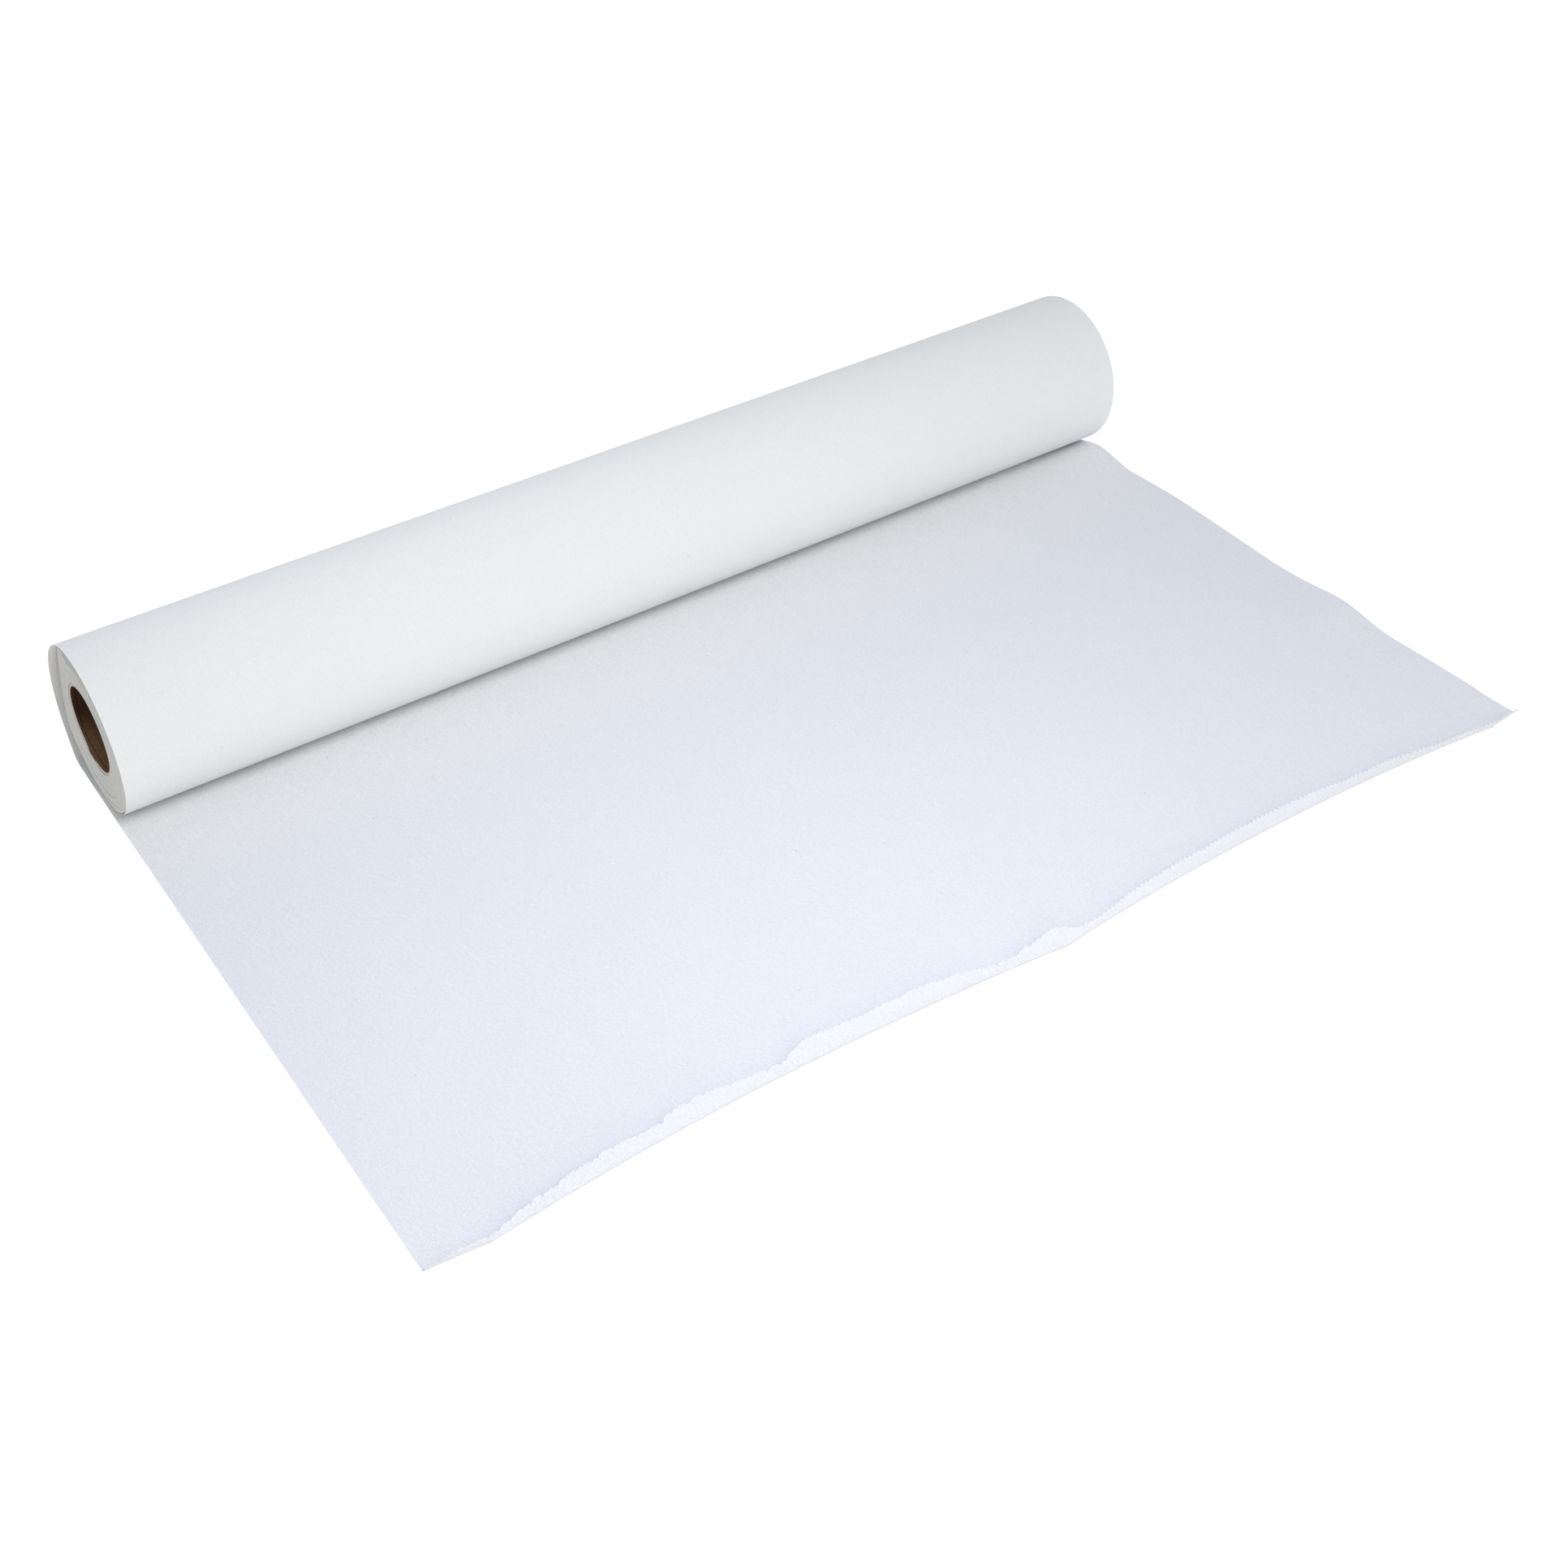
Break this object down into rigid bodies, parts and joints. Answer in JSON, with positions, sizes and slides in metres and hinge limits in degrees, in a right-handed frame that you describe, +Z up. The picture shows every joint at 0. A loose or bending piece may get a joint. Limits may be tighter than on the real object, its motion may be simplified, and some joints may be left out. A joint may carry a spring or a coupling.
{
  "type": "exam table paper roll",
  "caption": "Roll of white crepe examination table paper on a cardboard core, lying on its side with its slack end unrolled flat in front and the torn edge curled up.",
  "frame": {"origin": "on the table, under the roll's axis at the middle of its width", "axes": "+X along the roll's axis, -Y the way the sheet is unrolled, +Z up"},
  "size_m": [0.5379, 0.355, 0.0758],
  "materials": {
    "crepe_paper": "matt, finely crinkled",
    "core_board": "matt grey-brown board"
  },
  "bodies": {
    "root": {"paper_web": "crepe_paper", "core_tube": "core_board"}
  },
  "joints": []
}
